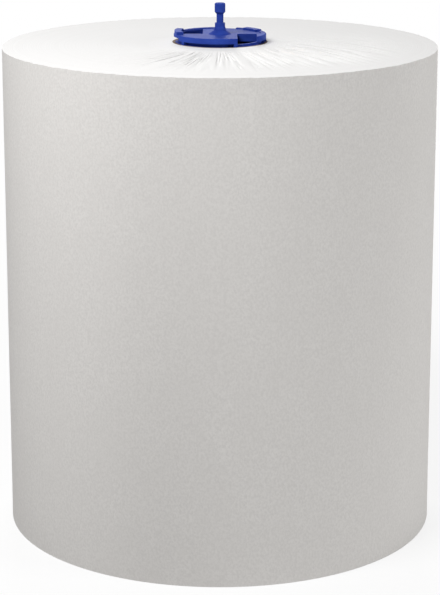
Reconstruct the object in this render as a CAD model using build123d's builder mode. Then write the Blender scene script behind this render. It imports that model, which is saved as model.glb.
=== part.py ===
# Hard-wound paper towel roll on a cardboard core, with a plastic end plug pressed into the core's upper end.
# Millimetres. The origin is the centre of the roll's lower end, and +Z runs up the roll's axis to the plug.
from build123d import *
import os

os.makedirs("parts", exist_ok=True)

# ---- driving dimensions ----
# the wound web
roll_radius = 93.5
roll_height = 210.0
web_thickness = 0.25  # one turn, and the height of the step at the web's loose end
end_rise = 1.2  # the innermost turns stand this far proud of the upper end
end_rise_width = 15.0  # the rise fades out over this width of paper

# the cardboard core
core_inner_radius = 19.0
core_wall = 1.5
core_recess = 0.5  # the core stops this far inside the roll's lower end
winding_gap = 0.05  # between the core and the first turn
core_swell = 0.25  # the spigot presses the core's bore out by this much

# the plug's spigot, down inside the core
spigot_length = 22.0
spigot_wall = 1.85
spigot_clearance = 0.05
spigot_lead_in = 1.0
rib_count = 8
rib_height = 1.1
rib_width = 1.4

# the plug's collar and stop lugs, between the core's end and the head
collar_step = 1.2  # how far the collar is set in from the spigot's outside
collar_height = 1.45
lug_count = 5
lug_start = -70.5  # degrees from +X of the first lug, just beside the open slot
lug_width = 1.5
lug_overlap = 0.7  # how far each lug reaches over the cardboard wall

# the plug's head
head_setback = 0.6  # of the head's edge from the outside of the core
head_thickness = 2.25
head_edge = 0.3  # bevel of the head's upper rim
rim_width = 2.2  # of the raised rim around the sunk deck
deck_depth = 0.4
slot_offset = 0.3  # from the axis to the straight inner edge of each slot
slot_near = 7.4  # the slots lie between these two distances beside the axis
slot_far = 15.75
rear_rim_width = 3.0  # of the rim that closes the rear slot
low_rim_width = 1.2  # of the low wall left in front of the open slot
low_rim_height = 0.9
ear_width = 3.3
catch_ear_from, catch_ear_sweep, catch_ear_height = 160.0, 40.0, 1.2  # degrees from +X, anticlockwise
rear_ear_from, rear_ear_sweep, rear_ear_height = 24.0, 29.0, 0.5
dip_from, dip_sweep, dip_depth = 67.0, 26.0, 0.6
catch_gap_from, catch_gap_sweep, catch_gap_height = 155.0, 53.0, 1.05  # cut up into the head's underside

# the plug's spindle, above the deck
foot_radius = 5.0
foot_height = 1.6
hub_base_radius = 2.7
hub_radius = 2.2
hub_flare = 1.6  # height over which the hub narrows
hub_height = 4.8
neck_radius = 1.5
neck_height = 3.8
knob_radius = 2.3
knob_height = 4.8
knob_taper = 0.9
knob_edge = 0.7

# ---- sizes that follow ----
core_outer_radius = core_inner_radius + core_wall
bore_radius = core_outer_radius + winding_gap
core_top = roll_height + end_rise
seat_radius = core_inner_radius + core_swell
spigot_radius = seat_radius - spigot_clearance
spigot_inner_radius = spigot_radius - spigot_wall
collar_radius = spigot_radius - collar_step
lug_radius = seat_radius + lug_overlap
head_radius = core_outer_radius - head_setback
head_base = core_top + collar_height
head_top = head_base + head_thickness
deck_radius = head_radius - rim_width
deck_top = head_top - deck_depth
hub_top = deck_top + hub_height
neck_top = hub_top + neck_height
knob_top = neck_top + knob_height
slot_width = slot_far - slot_near
slot_middle = (slot_near + slot_far) / 2

# ---- the paper: one continuous web, wound solid ----
with BuildPart() as paper_roll:
    # The outer turn is two half-turn arcs, the second with its centre moved half a web thickness,
    # so that the radius grows by one thickness and the loose end stands as a step at the back.
    with BuildSketch():
        with BuildLine():
            CenterArc((0, 0), roll_radius, 90, 180)
            CenterArc((0, -web_thickness / 2), roll_radius - web_thickness / 2, 270, 180)
            Line((0, roll_radius - web_thickness), (0, roll_radius))
        make_face()
        Circle(bore_radius, mode=Mode.SUBTRACT)
    extrude(amount=roll_height)
    # the innermost turns have crept up along the core, and the rise fades out tangent to the end
    with BuildSketch(Plane.XZ):
        with BuildLine():
            rise_foot = (bore_radius + end_rise_width, roll_height)
            rise_top = (bore_radius, roll_height + end_rise)
            TangentArc(rise_foot, rise_top, tangent=(-1, 0))
            Line(rise_top, (bore_radius, roll_height))
            Line((bore_radius, roll_height), rise_foot)
        make_face()
    revolve(axis=Axis.Z)
paper_roll.part.label = "paper_roll"

# ---- the core: a spiral-wound cardboard tube, open right through ----
with BuildPart() as core_tube:
    with BuildSketch(Plane.XY.offset(core_recess)):
        Circle(core_outer_radius)
        Circle(core_inner_radius, mode=Mode.SUBTRACT)
    extrude(amount=core_top - core_recess)
    # the upper stretch of the bore, pressed out by the spigot
    with BuildSketch(Plane.XY.offset(core_top)):
        Circle(seat_radius)
    extrude(amount=-(spigot_length + core_swell), mode=Mode.SUBTRACT)
core_tube.part.label = "core_tube"

# ---- the plug: one moulding ----
def rim_sector(inner_radius, outer_radius, start, sweep):
    """A flat sector of a ring about the origin."""
    with BuildSketch() as sector:
        with BuildLine():
            outer = CenterArc((0, 0), outer_radius, start, sweep)
            inner = CenterArc((0, 0), inner_radius, start, sweep)
            Line(outer @ 0, inner @ 0)
            Line(outer @ 1, inner @ 1)
        make_face()
    return sector.sketch


ear_inner_radius = head_radius - ear_width
ear_outer_radius = head_radius - head_edge
catch_ear_plan = rim_sector(ear_inner_radius, ear_outer_radius, catch_ear_from, catch_ear_sweep)
rear_ear_plan = rim_sector(ear_inner_radius, ear_outer_radius, rear_ear_from, rear_ear_sweep)
dip_plan = rim_sector(deck_radius - head_edge, head_radius + head_edge, dip_from, dip_sweep)
catch_gap_plan = rim_sector(collar_radius, head_radius + head_edge, catch_gap_from, catch_gap_sweep)

with BuildPart() as end_plug:
    # spigot, a cup with its open end down
    with BuildSketch(Plane.XY.offset(core_top)):
        Circle(spigot_radius)
    extrude(amount=-spigot_length)
    chamfer(end_plug.edges().group_by(Axis.Z)[0], spigot_lead_in)
    # collar, with stop lugs that rest on the core's end and carry the head clear of it
    with BuildSketch(Plane.XY.offset(core_top)):
        Circle(collar_radius)
        with PolarLocations(lug_radius / 2, lug_count, start_angle=lug_start):
            Rectangle(lug_radius, lug_width)
    extrude(amount=collar_height)
    # head
    with BuildSketch(Plane.XY.offset(head_base)):
        Circle(head_radius)
    extrude(amount=head_thickness)
    chamfer(end_plug.edges().group_by(Axis.Z)[-1], head_edge)
    # sunk deck inside the head's rim
    with BuildSketch(Plane.XY.offset(head_top)):
        Circle(deck_radius)
    extrude(amount=-deck_depth, mode=Mode.SUBTRACT)
    # hollow of the spigot, up to the collar
    with BuildSketch(Plane.XY.offset(core_top - spigot_length)):
        Circle(spigot_inner_radius)
    extrude(amount=spigot_length, mode=Mode.SUBTRACT)
    # stiffening ribs inside the spigot
    with BuildSketch(Plane.XY.offset(core_top - spigot_length + spigot_lead_in)):
        with PolarLocations(spigot_inner_radius, rib_count, start_angle=180 / rib_count):
            Rectangle(2 * rib_height, rib_width)
    extrude(amount=spigot_length - spigot_lead_in)

    # raised ears on the rim: the catch ear at the left, and the rear ear
    for ear_plan, ear_height in ((catch_ear_plan, catch_ear_height), (rear_ear_plan, rear_ear_height)):
        with BuildSketch(Plane.XY.offset(deck_top)):
            add(ear_plan)
        extrude(amount=deck_depth + ear_height)
    # dip in the rim at the back
    with BuildSketch(Plane.XY.offset(head_top)):
        add(dip_plan)
    extrude(amount=-dip_depth, mode=Mode.SUBTRACT)
    # gap cut up into the head under the catch ear
    with BuildSketch(Plane.XY.offset(head_base)):
        add(catch_gap_plan)
    extrude(amount=catch_gap_height, mode=Mode.SUBTRACT)

    # front slot, open at the rim, with a low wall left in front of the hollow
    with BuildSketch(Plane.XY.offset(core_top + low_rim_height)):
        with Locations((slot_middle, -slot_offset)):
            Rectangle(slot_width, head_radius, align=(Align.CENTER, Align.MAX))
    extrude(amount=collar_height + head_thickness, mode=Mode.SUBTRACT)
    with BuildSketch(Plane.XY.offset(core_top)):
        with Locations((slot_middle, -slot_offset)):
            Rectangle(slot_width, head_radius, align=(Align.CENTER, Align.MAX))
        Circle(collar_radius - low_rim_width, mode=Mode.INTERSECT)
    extrude(amount=collar_height, mode=Mode.SUBTRACT)
    # rear slot, its half-turn twin, closed by the rim
    with BuildSketch(Plane.XY.offset(core_top)):
        with Locations((-slot_middle, slot_offset)):
            Rectangle(slot_width, head_radius, align=(Align.CENTER, Align.MIN))
        Circle(head_radius - rear_rim_width, mode=Mode.INTERSECT)
    extrude(amount=collar_height + head_thickness + catch_ear_height, mode=Mode.SUBTRACT)

    # spindle: foot, hub, neck and knob, turned about the axis
    with BuildSketch(Plane.XZ):
        with BuildLine():
            Polyline(
                (0, deck_top),
                (foot_radius, deck_top),
                (hub_base_radius, deck_top + foot_height),
                (hub_radius, deck_top + foot_height + hub_flare),
                (hub_radius, hub_top),
                (neck_radius, hub_top),
                (neck_radius, neck_top),
                (knob_radius, neck_top + knob_taper),
                (knob_radius, knob_top - knob_edge),
            )
            JernArc((knob_radius, knob_top - knob_edge), (0, 1), knob_edge, 90)
            Polyline((knob_radius - knob_edge, knob_top), (0, knob_top), (0, deck_top))
        make_face()
    revolve(axis=Axis.Z)
end_plug.part.label = "end_plug"

export_step(paper_roll.part, "parts/paper_roll.step")
export_step(core_tube.part, "parts/core_tube.step")
export_step(end_plug.part, "parts/end_plug.step")
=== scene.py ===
import math

import bpy
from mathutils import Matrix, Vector


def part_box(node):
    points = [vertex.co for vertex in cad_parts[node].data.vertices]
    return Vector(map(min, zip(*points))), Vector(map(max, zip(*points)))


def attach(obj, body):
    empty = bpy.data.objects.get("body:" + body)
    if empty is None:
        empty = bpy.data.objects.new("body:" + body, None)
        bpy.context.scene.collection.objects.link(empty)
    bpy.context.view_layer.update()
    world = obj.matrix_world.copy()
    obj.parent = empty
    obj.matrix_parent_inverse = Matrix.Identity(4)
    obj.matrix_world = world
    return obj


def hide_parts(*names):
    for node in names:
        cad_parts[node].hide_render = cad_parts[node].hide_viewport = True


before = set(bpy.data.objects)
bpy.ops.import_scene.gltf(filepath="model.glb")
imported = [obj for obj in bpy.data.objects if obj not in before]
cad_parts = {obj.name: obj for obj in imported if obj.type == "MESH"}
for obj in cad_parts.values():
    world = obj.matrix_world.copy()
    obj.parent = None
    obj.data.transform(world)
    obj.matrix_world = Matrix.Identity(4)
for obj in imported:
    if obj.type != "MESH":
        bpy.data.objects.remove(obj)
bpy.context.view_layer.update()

MM = 0.001


# ---- Core tube ----
# A spiral-wound tube of grey-brown cardboard that the paper is wound on. Its shape is the frame's own, and
# its finish is here: strips laid at a slant round the tube, with short fibres that lie round it.

def put(tree, kind, inputs=None, **settings):
    """Adds one node to a tree. Each input is a plain value or the output that feeds it."""
    node = tree.nodes.new(kind)
    for name, value in settings.items():
        setattr(node, name, value)
    for key, value in (inputs or {}).items():
        if isinstance(value, bpy.types.NodeSocket):
            tree.links.new(value, node.inputs[key])
        else:
            node.inputs[key].default_value = value
    return node


def calc(tree, operation, *terms):
    """One sum on numbers: the output of a Math node."""
    return put(tree, "ShaderNodeMath", dict(enumerate(terms)), operation=operation).outputs[0]


def product(tree, first, *others):
    """The terms multiplied together, from the left."""
    for other in others:
        first = calc(tree, "MULTIPLY", first, other)
    return first


def fade(tree, value, start, end, low=0.0, high=1.0):
    """Goes smoothly from low to high while the value goes from start to end."""
    ends = {"Value": value, "From Min": start, "From Max": end, "To Min": low, "To Max": high}
    return put(tree, "ShaderNodeMapRange", ends, interpolation_type="SMOOTHSTEP").outputs["Result"]


def noise(tree, vector, scale, detail=2.0, roughness=0.5):
    """Plain cloudy noise, about 0.5 on average. The scale is in clouds a metre."""
    inputs = {"Vector": vector, "Scale": scale, "Detail": detail, "Roughness": roughness}
    return put(tree, "ShaderNodeTexNoise", inputs).outputs[0]


def stretched(tree, vector, height_rate):
    """The same coordinates with the height counted at another rate: under 1 it draws a pattern out upwards,
    and over 1 it presses it flat."""
    return put(tree, "ShaderNodeMapping", {"Vector": vector, "Scale": (1, 1, height_rate)}).outputs[0]


def blend(tree, factor, first, second):
    """A colour between two colours."""
    node = put(tree, "ShaderNodeMix", data_type="RGBA")
    for key, value in (("Factor_Float", factor), ("A_Color", first), ("B_Color", second)):
        socket = next(s for s in node.inputs if s.identifier == key)
        if isinstance(value, bpy.types.NodeSocket):
            tree.links.new(value, socket)
        else:
            socket.default_value = value
    return next(s for s in node.outputs if s.identifier == "Result_Color")


def new_finish(name):
    """An empty material: its tree, its shader, and the place on the piece as Object coordinates."""
    material = bpy.data.materials.new(name)
    material.use_nodes = True
    tree = material.node_tree
    place = put(tree, "ShaderNodeTexCoord").outputs["Object"]
    return material, tree, tree.nodes["Principled BSDF"], place


def coat(tree, shader, colour, roughness, specular, relief, strength, depth):
    """Gives a shader its colour and roughness, and a relief too fine to be modelled."""
    tree.links.new(colour, shader.inputs["Base Color"])
    tree.links.new(roughness, shader.inputs["Roughness"])
    shader.inputs["Specular IOR Level"].default_value = specular
    bump = put(tree, "ShaderNodeBump", {"Height": relief, "Strength": strength, "Distance": depth})
    tree.links.new(bump.outputs[0], shader.inputs["Normal"])


def round_the_axis(tree, place):
    """The same place as an angle round the roll's axis, a distance from it, and a height."""
    axes = put(tree, "ShaderNodeSeparateXYZ", {0: place}).outputs
    angle = calc(tree, "ARCTAN2", axes["Y"], axes["X"])
    flat = put(tree, "ShaderNodeCombineXYZ", {"X": axes["X"], "Y": axes["Y"]}).outputs[0]
    distance = put(tree, "ShaderNodeVectorMath", {0: flat}, operation="LENGTH").outputs["Value"]
    return angle, distance, axes["Z"]


def cardboard_finish():
    """Fibrous board in slanting strips, with a dark line where two strips meet."""
    material, tree, shader, place = new_finish("core_cardboard")
    dark_board, pale_board = (0.130, 0.096, 0.074, 1), (0.250, 0.190, 0.148, 1)
    aged_board, seam_board = (0.180, 0.130, 0.098, 1), (0.070, 0.050, 0.038, 1)
    strip_lead = 64 * MM  # how far a strip climbs in one turn
    seam_share = 0.02  # of the lead, on each side of the joint between two strips
    seam_strength = 0.6

    angle, _, height = round_the_axis(tree, place)
    climbed = calc(tree, "DIVIDE", height, strip_lead)
    turned = calc(tree, "DIVIDE", angle, math.tau)
    off_seam = calc(tree, "PINGPONG", calc(tree, "ADD", climbed, turned), 0.5)
    seam = fade(tree, off_seam, 0.0, seam_share, low=1.0, high=0.0)
    fibres = noise(tree, stretched(tree, place, height_rate=5), scale=620, detail=4)
    clouds = noise(tree, place, scale=90)

    board = blend(tree, fibres, dark_board, pale_board)
    aged = blend(tree, fade(tree, clouds, 0.35, 0.75, high=0.35), board, aged_board)
    jointed = blend(tree, calc(tree, "MULTIPLY", seam, seam_strength), aged, seam_board)
    relief = calc(tree, "SUBTRACT", calc(tree, "MULTIPLY", fibres, 0.4), seam)
    coat(tree, shader, colour=jointed, roughness=fade(tree, fibres, 0.2, 0.8, low=0.8, high=0.95),
         specular=0.25, relief=relief, strength=0.5, depth=0.1 * MM)
    return material


def finish_node(node, material):
    """Gives a piece of the frame a finish, and leaves its shape alone."""
    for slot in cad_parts[node].material_slots:
        slot.material = material


finish_node("core_tube", cardboard_finish())


# ---- Paper roll ----
# One continuous web of creped towel paper, wound hard into a solid roll. Its loose end lies as a thin
# step down the back, and the cut upper end has creases that fan out from the core, mostly at the front.

def towel_finish():
    """The outer turn: soft white tissue with a fine crepe, a little longer across the web than along it. Its
    colour follows the crepe, with painted shade in the hollows and painted light on the crests.
    """
    material, tree, shader, place = new_finish("towel_crepe")
    # Painted shade for the crepe's hollows and painted light for its crests, then the paper's own cloudy
    # tone and loose fibres.
    crepe_hollow_painted_shade, crepe_crest_painted_light = (0.785, 0.764, 0.740, 1), (0.875, 0.854, 0.829, 1)
    dense_tissue, loose_fibre = (0.805, 0.782, 0.757, 1), (0.905, 0.886, 0.862, 1)

    crepe = noise(tree, stretched(tree, place, height_rate=0.75), scale=1150, detail=3, roughness=0.6)
    fibres = noise(tree, stretched(tree, place, height_rate=0.7), scale=2600, detail=2)
    clouds = noise(tree, stretched(tree, place, height_rate=0.6), scale=70, detail=3)

    # The crepe's colour: painted shade in its hollows and painted light on its crests.
    tissue = blend(tree, fade(tree, crepe, 0.28, 0.72), crepe_hollow_painted_shade, crepe_crest_painted_light)
    formed = blend(tree, fade(tree, clouds, 0.35, 0.7, high=0.30), tissue, dense_tissue)
    speckled = blend(tree, fade(tree, fibres, 0.5, 0.8, high=0.30), formed, loose_fibre)
    relief = calc(tree, "ADD", crepe, calc(tree, "MULTIPLY", fibres, 0.35))
    coat(tree, shader, colour=speckled, roughness=fade(tree, crepe, 0.3, 0.7, low=0.95, high=0.80),
         specular=0.2, relief=relief, strength=0.35, depth=0.12 * MM)
    return material


def cut_end_finish():
    """The sawn ends: the edges of all the turns, whiter than the face of the web, with faint rings, partly
    painted shade between the turns and painted light on them, partly bands of tighter turns.
    """
    material, tree, shader, place = new_finish("towel_cut_end")
    # Painted shade between the turns and painted light on them, then the real tone of tighter turns and
    # loose fluff.
    turn_gap_painted_shade, turn_crest_painted_light = (0.780, 0.773, 0.765, 1), (0.835, 0.829, 0.822, 1)
    tight_turns, loose_fluff = (0.790, 0.782, 0.773, 1), (0.870, 0.865, 0.860, 1)
    ring_wander = 1.2 * MM  # the rings aren't quite round

    _, distance, _ = round_the_axis(tree, place)
    wander = calc(tree, "MULTIPLY", noise(tree, place, scale=35), ring_wander)
    ring_place = put(tree, "ShaderNodeCombineXYZ", {"X": calc(tree, "ADD", distance, wander)}).outputs[0]
    turns = noise(tree, ring_place, scale=2300, detail=1)
    bands = noise(tree, ring_place, scale=260, detail=2)
    fluff = noise(tree, place, scale=1500, detail=3)

    # The rings of turns: painted shade between them and painted light on them.
    turns_with_painted_shade = blend(tree, fade(tree, turns, 0.3, 0.7), turn_gap_painted_shade, turn_crest_painted_light)
    banded = blend(tree, fade(tree, bands, 0.35, 0.7, high=0.45), turns_with_painted_shade, tight_turns)
    fuzzy = blend(tree, fade(tree, fluff, 0.5, 0.8, high=0.4), banded, loose_fluff)
    relief = calc(tree, "ADD", calc(tree, "MULTIPLY", turns, 0.5), calc(tree, "MULTIPLY", fluff, 0.5))
    coat(tree, shader, colour=fuzzy, roughness=fade(tree, fluff, 0.3, 0.7, low=0.85, high=0.98),
         specular=0.15, relief=relief, strength=0.3, depth=0.1 * MM)
    return material


def ring_noise(tree, seed, cosine, sine, circle, along=0.0, detail=2.0):
    """Noise read along a circle, so that it closes on itself round the roll. A larger circle is busier."""
    where = put(tree, "ShaderNodeCombineXYZ", {
        "X": calc(tree, "MULTIPLY", cosine, circle),
        "Y": calc(tree, "MULTIPLY", sine, circle),
        "Z": along,
    }).outputs[0]
    inputs = {"Vector": where, "W": seed, "Scale": 1.0, "Detail": detail}
    return put(tree, "ShaderNodeTexNoise", inputs, noise_dimensions="4D").outputs[0]


def crease_drop(tree, seed, depth, angle, radius, out_share):
    """Creases in the upper end: grooves that run outwards and bend as they go, deepest at the front right.
    The share is 0 at the bore and 1 at the rim."""
    front_right = math.radians(-58)
    bend = 1.4  # radians, of a groove at the far right on its way out to the rim
    gathering = 0.6  # above 0 the grooves lie further apart at the right than at the left
    groove_circle = 20.0
    groove_change = 12.0  # a metre, outwards: the lower this is, the longer the grooves run
    groove_width = 0.11  # of the noise's range, on each side of the groove's middle
    right_gain = 2.6  # a groove at the right is deeper by this much

    to_right = calc(tree, "POWER", calc(tree, "MAXIMUM", calc(tree, "COSINE", angle), 0.0), 1.5)
    swept = calc(tree, "ADD", angle, product(tree, out_share, to_right, bend))
    spread = calc(tree, "SUBTRACT", swept, calc(tree, "MULTIPLY", calc(tree, "SINE", swept), gathering))
    wavy = ring_noise(tree, seed, calc(tree, "COSINE", spread), calc(tree, "SINE", spread), groove_circle,
                      along=calc(tree, "MULTIPLY", radius, groove_change), detail=1.0)
    off_middle = calc(tree, "ABSOLUTE", calc(tree, "SUBTRACT", wavy, 0.5))
    groove = fade(tree, off_middle, 0.0, groove_width, low=1.0, high=0.0)

    facing = calc(tree, "COSINE", calc(tree, "SUBTRACT", angle, front_right))
    near_front = fade(tree, facing, -0.4, 0.85)
    started = fade(tree, out_share, 0.03, 0.16)
    run_out = fade(tree, out_share, 0.40, 0.95, low=1.0, high=0.0)
    deeper = fade(tree, to_right, 0.0, 0.8, low=1.0, high=right_gain)
    present = product(tree, started, run_out, near_front, deeper)
    return product(tree, groove, present, depth)


def wound_web_tree(face_paper, end_paper):
    """The wound roll as four surfaces, side, upper end, bore and lower end, sewn into one closed skin."""
    tree = bpy.data.node_groups.new("wound_web", "GeometryNodeTree")
    tree.interface.new_socket("Geometry", in_out="OUTPUT", socket_type="NodeSocketGeometry")
    sizes = {
        "Roll radius": "Float", "Bore radius": "Float", "Height": "Float", "Web thickness": "Float",
        "Rise": "Float", "Rise width": "Float", "Crease depth": "Float", "Rim wear": "Float",
        "Slack": "Float", "Columns": "Int", "Seed": "Float",
    }
    for name, kind in sizes.items():
        tree.interface.new_socket(name, in_out="INPUT", socket_type=f"NodeSocket{kind}")
    given = put(tree, "NodeGroupInput").outputs
    wear_seed, slack_seed, crease_seed = (calc(tree, "ADD", given["Seed"], step) for step in (1.0, 2.0, 3.0))

    # Each surface starts as a flat grid one unit square: x goes once round the roll, y goes across it.
    flat = put(tree, "ShaderNodeSeparateXYZ", {0: put(tree, "GeometryNodeInputPosition").outputs[0]}).outputs
    round_share = calc(tree, "ADD", flat["X"], 0.5)
    across = calc(tree, "ADD", flat["Y"], 0.5)

    # All the columns but the last go round the roll, from the back, and stop just short of their start.
    # The last one closes the step at the loose end.
    closing = calc(tree, "GREATER_THAN", round_share, 0.9999)  # true only at the very end of the grid
    step_angle = calc(tree, "DIVIDE", given["Web thickness"], given["Roll radius"])
    columns_kept = calc(tree, "SUBTRACT", given["Columns"], 1.0)
    evened = calc(tree, "DIVIDE", calc(tree, "MULTIPLY", round_share, given["Columns"]), columns_kept)
    wound = product(tree, evened, calc(tree, "SUBTRACT", math.tau, step_angle),
                    calc(tree, "SUBTRACT", 1.0, closing))
    angle = calc(tree, "ADD", wound, math.pi / 2)
    cosine, sine = calc(tree, "COSINE", angle), calc(tree, "SINE", angle)

    # The radius falls by one web thickness over the second half turn, so the loose end stands as a step.
    past_half = calc(tree, "MAXIMUM", calc(tree, "SUBTRACT", wound, math.pi), 0.0)
    fallen = calc(tree, "MULTIPLY", calc(tree, "SUBTRACT", 1.0, calc(tree, "COSINE", past_half)), 0.5)
    outside = calc(tree, "SUBTRACT", given["Roll radius"],
                   calc(tree, "MULTIPLY", fallen, given["Web thickness"]))
    paper_depth = calc(tree, "SUBTRACT", outside, given["Bore radius"])

    # The rim is a little worn: it sinks here and there, by a different amount all the way round.
    wear_noise = ring_noise(tree, wear_seed, cosine, sine, circle=26.0, detail=3.0)
    wear = calc(tree, "MULTIPLY", fade(tree, wear_noise, 0.35, 0.75), given["Rim wear"])
    rim_height = calc(tree, "SUBTRACT", given["Height"], wear)

    # Side, from the lower end up. The outer turn is a little slack between its ends.
    slack_change = 9.0  # a metre, upwards
    side_height = calc(tree, "MULTIPLY", across, rim_height)
    slack_noise = ring_noise(tree, slack_seed, cosine, sine, circle=2.2,
                             along=calc(tree, "MULTIPLY", side_height, slack_change))
    held = calc(tree, "MULTIPLY", fade(tree, across, 0.0, 0.03), fade(tree, across, 1.0, 0.97))
    slack = product(tree, fade(tree, slack_noise, 0.3, 0.8), held, given["Slack"])
    side_radius = calc(tree, "SUBTRACT", outside, slack)

    # Upper end, from the rim in. The innermost turns rise along the core.
    end_radius = calc(tree, "SUBTRACT", outside, calc(tree, "MULTIPLY", across, paper_depth))
    from_bore = calc(tree, "SUBTRACT", end_radius, given["Bore radius"])
    rise_left = calc(tree, "SUBTRACT", 1.0, calc(tree, "DIVIDE", from_bore, given["Rise width"]))
    rise_share = calc(tree, "POWER", calc(tree, "MAXIMUM", rise_left, 0.0), 2.0)
    rise = calc(tree, "MULTIPLY", rise_share, given["Rise"])
    wear_width = 2.5 * MM  # in from the rim
    wear_reach = fade(tree, calc(tree, "SUBTRACT", outside, end_radius), 0.0, wear_width, low=1.0, high=0.0)
    full_depth = calc(tree, "SUBTRACT", given["Roll radius"], given["Bore radius"])
    out_share = calc(tree, "DIVIDE", from_bore, full_depth)
    crease = crease_drop(tree, crease_seed, given["Crease depth"], angle, end_radius, out_share)
    lost = calc(tree, "ADD", calc(tree, "MULTIPLY", wear_reach, wear), crease)
    end_height = calc(tree, "SUBTRACT", calc(tree, "ADD", given["Height"], rise), lost)

    # Bore, downwards, and the lower end, outwards.
    bore_top = calc(tree, "ADD", given["Height"], given["Rise"])
    bore_height = calc(tree, "MULTIPLY", calc(tree, "SUBTRACT", 1.0, across), bore_top)
    low_radius = calc(tree, "ADD", given["Bore radius"], calc(tree, "MULTIPLY", across, paper_depth))

    surfaces = (  # rows, radius, height
        (40, side_radius, side_height),
        (100, end_radius, end_height),
        (2, given["Bore radius"], bore_height),
        (6, low_radius, 0.0),
    )
    around = calc(tree, "ADD", given["Columns"], 1.0)
    sewn = put(tree, "GeometryNodeJoinGeometry")
    for rows, radius, height in surfaces:
        grid = put(tree, "GeometryNodeMeshGrid",
                   {"Size X": 1.0, "Size Y": 1.0, "Vertices X": around, "Vertices Y": rows + 1})
        where = put(tree, "ShaderNodeCombineXYZ", {
            "X": calc(tree, "MULTIPLY", radius, cosine),
            "Y": calc(tree, "MULTIPLY", radius, sine),
            "Z": height,
        }).outputs[0]
        bent = put(tree, "GeometryNodeSetPosition", {"Geometry": grid.outputs["Mesh"], "Position": where})
        tree.links.new(bent.outputs[0], sewn.inputs[0])
    skin = put(tree, "GeometryNodeMergeByDistance", {"Geometry": sewn.outputs[0], "Distance": 0.002 * MM})

    # Smooth turns, with the cut edges and the loose end left sharp.
    sharp_from = math.radians(35)
    smooth = put(tree, "GeometryNodeSetShadeSmooth", {"Geometry": skin.outputs[0], "Shade Smooth": True})
    fold = put(tree, "GeometryNodeInputMeshEdgeAngle").outputs["Unsigned Angle"]
    edges = calc(tree, "GREATER_THAN", fold, sharp_from)
    sharp = put(tree, "GeometryNodeSetShadeSmooth",
                {"Geometry": smooth.outputs[0], "Selection": edges, "Shade Smooth": False}, domain="EDGE")
    real = put(tree, "GeometryNodeRealizeInstances", {"Geometry": sharp.outputs[0]})

    # Face paper all over, then the cut end's paper wherever the skin faces up or down.
    normal = put(tree, "ShaderNodeSeparateXYZ", {0: put(tree, "GeometryNodeInputNormal").outputs[0]}).outputs
    on_end = calc(tree, "GREATER_THAN", calc(tree, "ABSOLUTE", normal["Z"]), 0.5)
    faced = put(tree, "GeometryNodeSetMaterial", {"Geometry": real.outputs[0], "Material": face_paper})
    ended = put(tree, "GeometryNodeSetMaterial",
                {"Geometry": faced.outputs[0], "Selection": on_end, "Material": end_paper})
    result = put(tree, "NodeGroupOutput")
    tree.links.new(ended.outputs[0], result.inputs[0])
    return tree


def made_by(tree, name, values):
    """Runs a tree with its named inputs and keeps the result as a plain mesh."""
    start = bpy.data.objects.new(name + "_start", bpy.data.meshes.new(name + "_start"))
    bpy.context.scene.collection.objects.link(start)
    steps = start.modifiers.new(name, "NODES")
    steps.node_group = tree
    for item in tree.interface.items_tree:
        if item.in_out == "INPUT":
            steps[item.identifier] = values[item.name]
    mesh = bpy.data.meshes.new_from_object(start.evaluated_get(bpy.context.evaluated_depsgraph_get()))
    start.modifiers.remove(steps)
    bpy.data.objects.remove(start)
    piece = bpy.data.objects.new(name, mesh)
    bpy.context.scene.collection.objects.link(piece)
    return piece


paper_low, paper_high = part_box("paper_roll")
_, core_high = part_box("core_tube")
end_rise = 1.2 * MM  # the innermost turns stand this far proud of the upper end
winding_gap = 0.05 * MM  # between the core and the first turn
roll_radius = -paper_low.x
roll_height = paper_high.z - end_rise
web_tree = wound_web_tree(towel_finish(), cut_end_finish())
wound_paper = made_by(web_tree, "wound_paper", {
    "Roll radius": roll_radius,
    "Bore radius": core_high.x + winding_gap,
    "Height": roll_height,
    "Web thickness": 0.25 * MM,
    "Rise": end_rise,
    "Rise width": 15 * MM,
    "Crease depth": 0.5 * MM,
    "Rim wear": 0.25 * MM,
    "Slack": 0.12 * MM,
    "Columns": 660,
    "Seed": 7.0,
})
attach(wound_paper, "root")
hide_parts("paper_roll")


# ---- End plug ----
# One moulding in strong blue plastic, pressed into the core's upper end: a slotted head with a raised
# rim and a spindle on it. The skin is satin, a little uneven from the mould.

def moulded_blue_finish():
    """Blue plastic that varies a little with the flow in the mould, with a faint grain."""
    material, tree, shader, place = new_finish("plug_blue_moulding")
    deep_blue, pale_blue = (0.020, 0.043, 0.270, 1), (0.029, 0.064, 0.345, 1)
    least_rough = 0.26

    flow = noise(tree, stretched(tree, place, height_rate=2), scale=120, detail=3)
    grain = noise(tree, place, scale=2400, detail=2)
    blue = blend(tree, fade(tree, flow, 0.3, 0.7), deep_blue, pale_blue)
    uneven = calc(tree, "ADD", calc(tree, "MULTIPLY", flow, 0.16), calc(tree, "MULTIPLY", grain, 0.12))
    coat(tree, shader, colour=blue, roughness=calc(tree, "ADD", uneven, least_rough),
         specular=0.015, relief=grain, strength=0.12, depth=0.05 * MM)
    return material


finish_node("end_plug", moulded_blue_finish())


# ---- Studio ----
# A plain white floor and room. A soft lamp stands close above the front left, one low at the right, and
# one above and behind the roll.

def seen_by_camera(tree):
    """1 for a ray that ends in the picture, straight, mirrored or through a clear piece, and 0 for light."""
    rays = put(tree, "ShaderNodeLightPath").outputs
    not_straight = calc(tree, "MAXIMUM", rays["Is Glossy Ray"], rays["Is Transmission Ray"])
    return calc(tree, "MAXIMUM", rays["Is Camera Ray"], not_straight)


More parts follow.
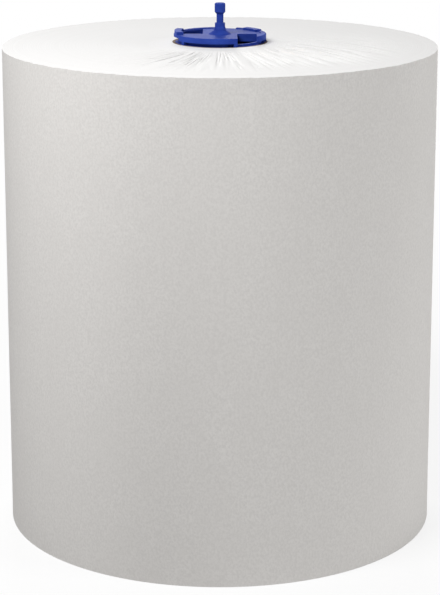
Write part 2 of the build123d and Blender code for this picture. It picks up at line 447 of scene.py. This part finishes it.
def floor_finish():
    """White floor: the camera sees it as the room's white, and it still takes the roll's soft shadow."""
    material, tree, shader, place = new_finish("studio_floor")
    bounced, shown = (0.40, 0.40, 0.40, 1), (0.95, 0.95, 0.95, 1)
    own_light = 0.82  # of the white that is seen near the roll, and all of it far off
    near, far = 0.12, 0.9  # from the roll's axis

    shader.inputs["Roughness"].default_value = 0.9
    shader.inputs["Specular IOR Level"].default_value = 0.1
    seen = seen_by_camera(tree)
    white = put(tree, "ShaderNodeEmission", {"Color": (1, 1, 1, 1), "Strength": 1.0}).outputs[0]
    tree.links.new(blend(tree, seen, bounced, shown), shader.inputs["Base Color"])
    _, from_roll, _ = round_the_axis(tree, place)
    share = calc(tree, "MULTIPLY", seen, fade(tree, from_roll, near, far, low=own_light))
    mixed = put(tree, "ShaderNodeMixShader", {0: share, 1: shader.outputs[0], 2: white})
    tree.links.new(mixed.outputs[0], tree.nodes["Material Output"].inputs["Surface"])
    return material


floor_half = 6.0
floor_corners = [(-floor_half, -floor_half, 0), (floor_half, -floor_half, 0),
                 (floor_half, floor_half, 0), (-floor_half, floor_half, 0)]
floor_mesh = bpy.data.meshes.new("studio_floor")
floor_mesh.from_pydata(floor_corners, [], [(0, 1, 2, 3)])
floor_mesh.materials.append(floor_finish())
studio_floor = bpy.data.objects.new("studio_floor", floor_mesh)
bpy.context.scene.collection.objects.link(studio_floor)

roll_middle = Vector((0, 0, roll_height / 2))


def soft_lamp(name, azimuth, elevation, distance, size, power):
    """A square soft lamp that faces the roll's middle. Azimuth 0 is the camera's side, 90 the right."""
    turn, lift = math.radians(azimuth), math.radians(elevation)
    away = Vector((math.sin(turn) * math.cos(lift), -math.cos(turn) * math.cos(lift), math.sin(lift)))
    lamp = bpy.data.lights.new(name, "AREA")
    lamp.shape = "SQUARE"
    lamp.size = size
    lamp.energy = power
    holder = bpy.data.objects.new(name, lamp)
    holder.location = roll_middle + away * distance
    holder.rotation_euler = away.to_track_quat("Z", "Y").to_euler()
    bpy.context.scene.collection.objects.link(holder)


soft_lamp("left_lamp", azimuth=-42, elevation=50, distance=0.75, size=0.35, power=4.5)
soft_lamp("right_lamp", azimuth=69, elevation=10, distance=1.2, size=0.4, power=5.9)
soft_lamp("back_lamp", azimuth=180, elevation=38, distance=1.2, size=0.5, power=5.8)

room_glow = 0.12  # the light that the white room gives the roll
room = bpy.data.worlds.new("studio_room")
room.use_nodes = True
room_tree = room.node_tree
room_light = room_tree.nodes["Background"]
room_light.inputs["Color"].default_value = (1, 1, 1, 1)
room_strength = fade(room_tree, seen_by_camera(room_tree), 0.0, 1.0, low=room_glow)
room_tree.links.new(room_strength, room_light.inputs["Strength"])
bpy.context.scene.world = room

bpy.context.scene.view_settings.view_transform = "Standard"


# ---- Camera ----
# It stands a little above the roll's upper end and looks slightly down, through a long lens.

camera_distance = 0.8884  # from the roll's middle
camera_elevation = math.radians(14.70)  # above the roll's middle
camera_pitch = math.radians(12.65)  # downwards
lens = bpy.data.cameras.new("camera")
lens.lens = 121.5
lens.sensor_width = 36.0
lens.shift_y = -0.15
camera = bpy.data.objects.new("camera", lens)
camera.location = roll_middle + camera_distance * Vector(
    (0, -math.cos(camera_elevation), math.sin(camera_elevation)))
camera.rotation_euler = (math.pi / 2 - camera_pitch, 0, 0)
bpy.context.scene.collection.objects.link(camera)
bpy.context.scene.camera = camera
